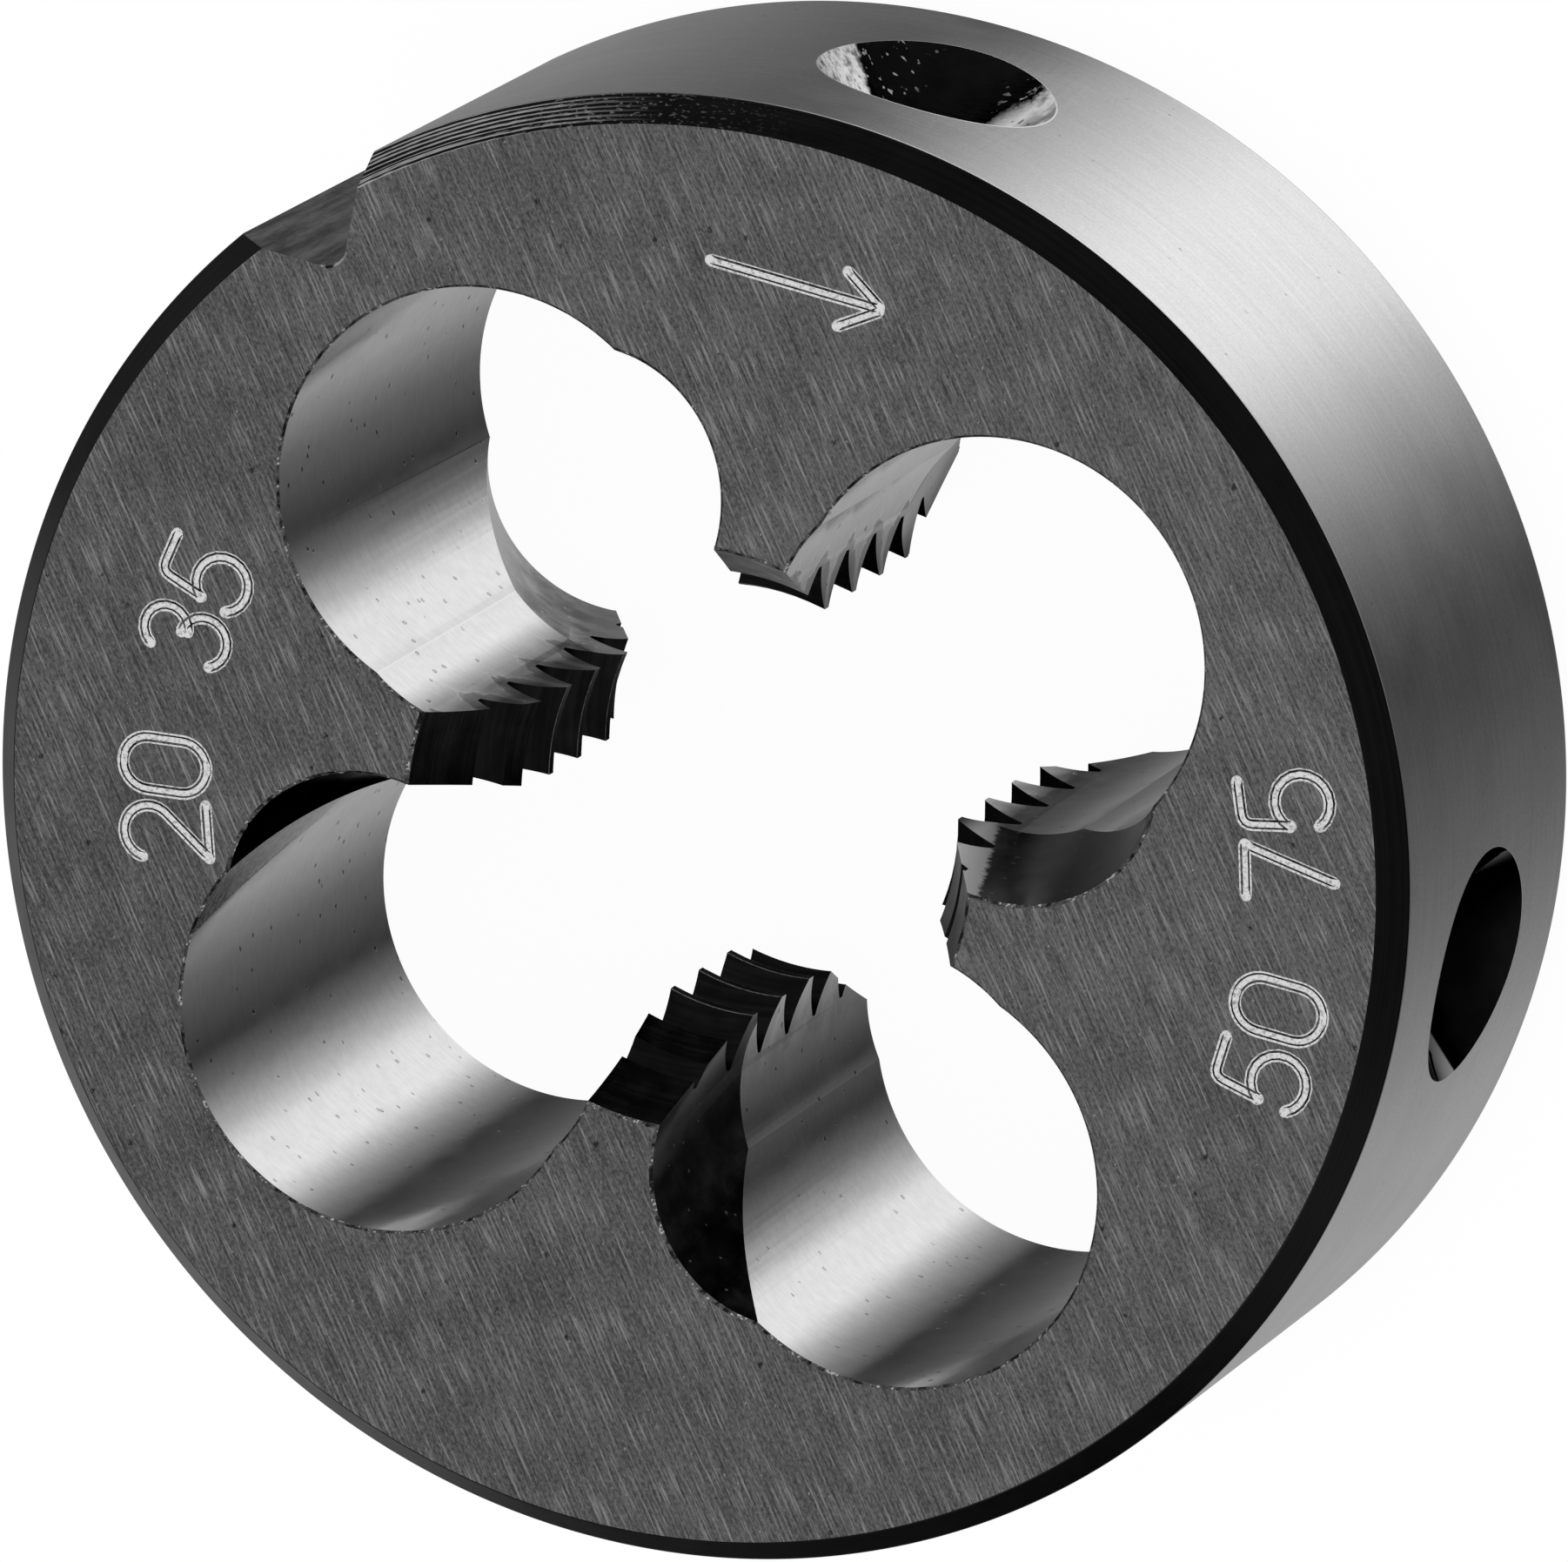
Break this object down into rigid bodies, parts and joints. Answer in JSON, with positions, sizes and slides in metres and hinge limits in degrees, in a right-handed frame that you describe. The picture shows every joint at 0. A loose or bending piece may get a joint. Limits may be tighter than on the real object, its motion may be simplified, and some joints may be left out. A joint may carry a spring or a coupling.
{
  "type": "round threading die",
  "caption": "Solid round die for cutting an outside screw thread, with chip holes round the thread, a V-groove and conical dimples in the rim.",
  "frame": {"origin": "middle of the back face, on the thread's axis", "axes": "+Z along the thread's axis, out of the marked face; +Y towards the V-groove in the rim"},
  "size_m": [0.038, 0.0379, 0.014],
  "materials": {
    "tool_steel": "bare hardened high-speed steel: ground faces and rim, smooth bright chip holes, dark glossy teeth and lead cones"
  },
  "bodies": {
    "root": {"threading_die": "tool_steel"}
  },
  "joints": []
}
